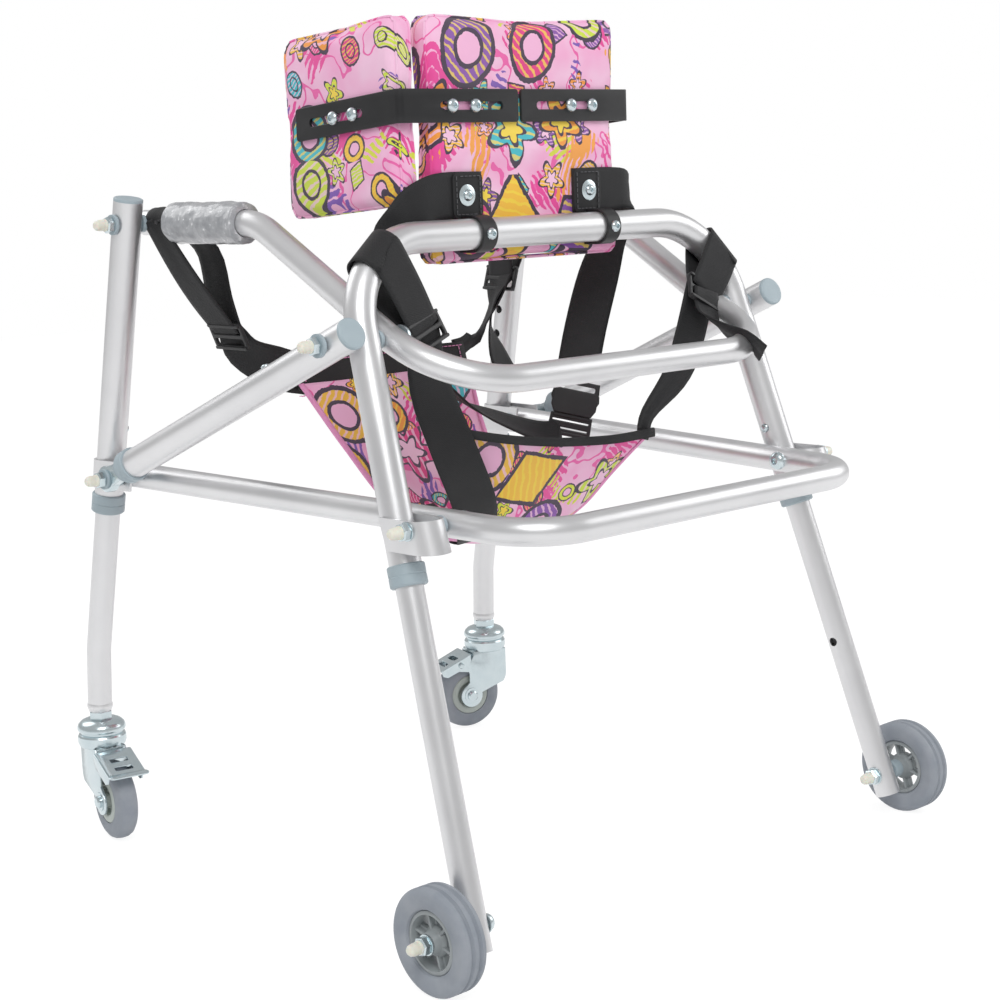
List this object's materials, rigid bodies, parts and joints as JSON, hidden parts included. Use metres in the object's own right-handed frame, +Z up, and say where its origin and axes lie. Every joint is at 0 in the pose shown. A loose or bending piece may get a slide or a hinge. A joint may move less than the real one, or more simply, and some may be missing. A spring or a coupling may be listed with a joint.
{
  "type": "folding walker",
  "caption": "Child's folding posture walker with telescoping legs, rear casters, trunk pads, waist belt and a fabric sling seat.",
  "frame": {"origin": "on the floor in the middle plane, below the fore-aft zero line that passes 19 mm behind the crossbar's middle", "axes": "+Z up, -Y towards the closed end with the crossbar and the fixed wheels, +Y towards the open end with the casters, X across"},
  "size_m": [0.6215, 0.5881, 0.7207],
  "materials": {
    "tube": "satin silver",
    "zinc": "zinc plated",
    "tyre": "moulded, double groove",
    "hub": "moulded",
    "print_fabric": "printed woven cloth",
    "webbing": "woven webbing",
    "black_metal": "black powder coat",
    "black_plastic": "moulded",
    "grip": "closed-cell foam in clear wrap"
  },
  "bodies": {
    "frame": {"front_frame": "tube", "pivot_bolt_L": "zinc", "pivot_bolt_R": "zinc", "centre_pad": "print_fabric", "pad_bolts_L": "zinc", "pad_bolts_R": "zinc", "pad_clip_L": "black_plastic", "pad_clip_R": "black_plastic", "sling": "print_fabric", "front_strap_L": "webbing", "front_strap_R": "webbing", "rear_strap_L": "webbing", "rear_strap_R": "webbing", "waist_belt_L": "webbing", "waist_belt_R": "webbing", "belt_buckle": "black_plastic"},
    "handle": {"handle_frame": "tube", "hand_grip_L": "grip", "hand_grip_R": "grip", "handle_bolt_L": "zinc", "handle_bolt_R": "zinc"},
    "rear": {"rear_post_L": "tube", "rear_post_R": "tube"},
    "lower": {"lower_frame": "tube", "lower_frame_bolt_L": "zinc", "lower_frame_bolt_R": "zinc"},
    "strut_upper_L": {"strut_tube_L": "tube"},
    "strut_lower_L": {"strut_rod_L": "tube"},
    "strut_lock_L": {"strut_button_L": "zinc"},
    "front_leg_L": {"front_leg_L": "tube", "front_axle_L": "zinc"},
    "front_wheel_L": {"front_tyre_L": "tyre", "front_hub_L": "hub"},
    "front_lock_L": {"front_button_L": "zinc"},
    "rear_leg_L": {"rear_leg_L": "tube"},
    "rear_lock_L": {"rear_button_L": "zinc"},
    "caster_L": {"caster_fork_L": "zinc"},
    "pedal_L": {"brake_pedal_L": "zinc"},
    "caster_wheel_L": {"caster_tyre_L": "tyre", "caster_hub_L": "hub"},
    "pad_arm_L": {"pad_bracket_L": "black_metal"},
    "side_pad_L": {"side_pad_L": "print_fabric", "side_pad_bolts_L": "zinc"},
    "strut_upper_R": {"strut_tube_R": "tube"},
    "strut_lower_R": {"strut_rod_R": "tube"},
    "strut_lock_R": {"strut_button_R": "zinc"},
    "front_leg_R": {"front_leg_R": "tube", "front_axle_R": "zinc"},
    "front_wheel_R": {"front_tyre_R": "tyre", "front_hub_R": "hub"},
    "front_lock_R": {"front_button_R": "zinc"},
    "rear_leg_R": {"rear_leg_R": "tube"},
    "rear_lock_R": {"rear_button_R": "zinc"},
    "caster_R": {"caster_fork_R": "zinc"},
    "pedal_R": {"brake_pedal_R": "zinc"},
    "caster_wheel_R": {"caster_tyre_R": "tyre", "caster_hub_R": "hub"},
    "pad_arm_R": {"pad_bracket_R": "black_metal"},
    "side_pad_R": {"side_pad_R": "print_fabric", "side_pad_bolts_R": "zinc"}
  },
  "joints": [
    {"name": "fold", "type": "hinge", "parent": "frame", "child": "handle", "pos_m": [0, -0.004, 0.467], "axis": [1, 0, 0], "range_deg": [-80, 0], "deforming": ["sling", "rear_strap_L", "rear_strap_R", "front_strap_L", "front_strap_R", "waist_belt_L", "waist_belt_R"]},
    {"name": "rear_post_hinge", "type": "hinge", "parent": "handle", "child": "rear", "pos_m": [0, 0.291, 0.558], "axis": [1, 0, 0], "range_deg": [0, 60.22]},
    {"name": "lower_frame_hinge", "type": "hinge", "parent": "rear", "child": "lower", "pos_m": [0, 0.3, 0.3395], "axis": [1, 0, 0], "range_deg": [-48.24, 0]},
    {"name": "strut_hinge_L", "type": "hinge", "parent": "frame", "child": "strut_upper_L", "pos_m": [-0.2476, -0.004, 0.467], "axis": [1, 0, 0], "range_deg": [-58.4, 0]},
    {"name": "strut_slide_L", "type": "slide", "parent": "strut_upper_L", "child": "strut_lower_L", "axis": [-0.0424, 0.9213, -0.3864], "range_m": [0, 0.16]},
    {"name": "strut_button_push_L", "type": "slide", "parent": "strut_upper_L", "child": "strut_lock_L", "axis": [0, -0.3868, -0.9222], "range_m": [0, 0.0022], "stiffness_N_per_m": 900},
    {"name": "front_leg_slide_L", "type": "slide", "parent": "frame", "child": "front_leg_L", "axis": [0.0733, 0.3062, 0.9491], "range_m": [0, 0.0508]},
    {"name": "front_button_push_L", "type": "slide", "parent": "frame", "child": "front_lock_L", "axis": [-0.9973, 0.0225, 0.0697], "range_m": [0, 0.0022], "stiffness_N_per_m": 900},
    {"name": "front_wheel_spin_L", "type": "hinge", "parent": "front_leg_L", "child": "front_wheel_L", "pos_m": [-0.286, -0.14252, 0.0412], "axis": [1, 0, 0], "continuous": true},
    {"name": "rear_leg_slide_L", "type": "slide", "parent": "rear", "child": "rear_leg_L", "axis": [0.0192, -0.2002, 0.9796], "range_m": [0, 0.0508]},
    {"name": "rear_button_push_L", "type": "slide", "parent": "rear", "child": "rear_lock_L", "axis": [-0.9998, -0.0039, 0.0188], "range_m": [0, 0.0022], "stiffness_N_per_m": 900},
    {"name": "caster_swivel_L", "type": "hinge", "parent": "rear_leg_L", "child": "caster_L", "pos_m": [-0.2413, 0.3731, 0.09], "axis": [0, 0, 1], "continuous": true},
    {"name": "caster_spin_L", "type": "hinge", "parent": "caster_L", "child": "caster_wheel_L", "pos_m": [-0.24598, 0.34956, 0.036], "axis": [0.9808, -0.195, 0], "continuous": true},
    {"name": "brake_pedal_L", "type": "hinge", "parent": "caster_L", "child": "pedal_L", "pos_m": [-0.24832, 0.33779, 0.0765], "axis": [0.9808, -0.195, 0], "range_deg": [0, 8]},
    {"name": "pad_width_L", "type": "slide", "parent": "frame", "child": "pad_arm_L", "axis": [-1, 0, 0], "range_m": [-0.001, 0.028]},
    {"name": "pad_depth_L", "type": "slide", "parent": "pad_arm_L", "child": "side_pad_L", "axis": [0, 0.9968, -0.0802], "range_m": [0, 0.029]},
    {"name": "strut_hinge_R", "type": "hinge", "parent": "frame", "child": "strut_upper_R", "pos_m": [0.2476, -0.004, 0.467], "axis": [1, 0, 0], "range_deg": [-58.4, 0]},
    {"name": "strut_slide_R", "type": "slide", "parent": "strut_upper_R", "child": "strut_lower_R", "axis": [0.0424, 0.9213, -0.3864], "range_m": [0, 0.16]},
    {"name": "strut_button_push_R", "type": "slide", "parent": "strut_upper_R", "child": "strut_lock_R", "axis": [0, -0.3868, -0.9222], "range_m": [0, 0.0022], "stiffness_N_per_m": 900},
    {"name": "front_leg_slide_R", "type": "slide", "parent": "frame", "child": "front_leg_R", "axis": [-0.0733, 0.3062, 0.9491], "range_m": [0, 0.0508]},
    {"name": "front_button_push_R", "type": "slide", "parent": "frame", "child": "front_lock_R", "axis": [0.9973, 0.0225, 0.0697], "range_m": [0, 0.0022], "stiffness_N_per_m": 900},
    {"name": "front_wheel_spin_R", "type": "hinge", "parent": "front_leg_R", "child": "front_wheel_R", "pos_m": [0.286, -0.14252, 0.0412], "axis": [1, 0, 0], "continuous": true},
    {"name": "rear_leg_slide_R", "type": "slide", "parent": "rear", "child": "rear_leg_R", "axis": [-0.0192, -0.2002, 0.9796], "range_m": [0, 0.0508]},
    {"name": "rear_button_push_R", "type": "slide", "parent": "rear", "child": "rear_lock_R", "axis": [0.9998, -0.0039, 0.0188], "range_m": [0, 0.0022], "stiffness_N_per_m": 900},
    {"name": "caster_swivel_R", "type": "hinge", "parent": "rear_leg_R", "child": "caster_R", "pos_m": [0.2413, 0.3731, 0.09], "axis": [0, 0, 1], "continuous": true},
    {"name": "caster_spin_R", "type": "hinge", "parent": "caster_R", "child": "caster_wheel_R", "pos_m": [0.21836, 0.38016, 0.036], "axis": [-0.2939, -0.9558, 0], "continuous": true},
    {"name": "brake_pedal_R", "type": "hinge", "parent": "caster_R", "child": "pedal_R", "pos_m": [0.20689, 0.38368, 0.0765], "axis": [-0.2939, -0.9558, 0], "range_deg": [0, 8]},
    {"name": "pad_width_R", "type": "slide", "parent": "frame", "child": "pad_arm_R", "axis": [1, 0, 0], "range_m": [0, 0.036]},
    {"name": "pad_depth_R", "type": "slide", "parent": "pad_arm_R", "child": "side_pad_R", "axis": [0, 0.9968, -0.0802], "range_m": [-0.001, 0.006]}
  ],
  "couplings": [
    {"joint": "rear_post_hinge", "follows": "fold", "ratio": -0.7526},
    {"joint": "lower_frame_hinge", "follows": "fold", "ratio": 0.6029},
    {"joint": "strut_hinge_L", "follows": "fold", "ratio": 0.7299},
    {"joint": "strut_slide_L", "follows": "fold", "m_per_rad": -0.11425},
    {"joint": "strut_hinge_R", "follows": "fold", "ratio": 0.7299},
    {"joint": "strut_slide_R", "follows": "fold", "m_per_rad": -0.11425}
  ]
}
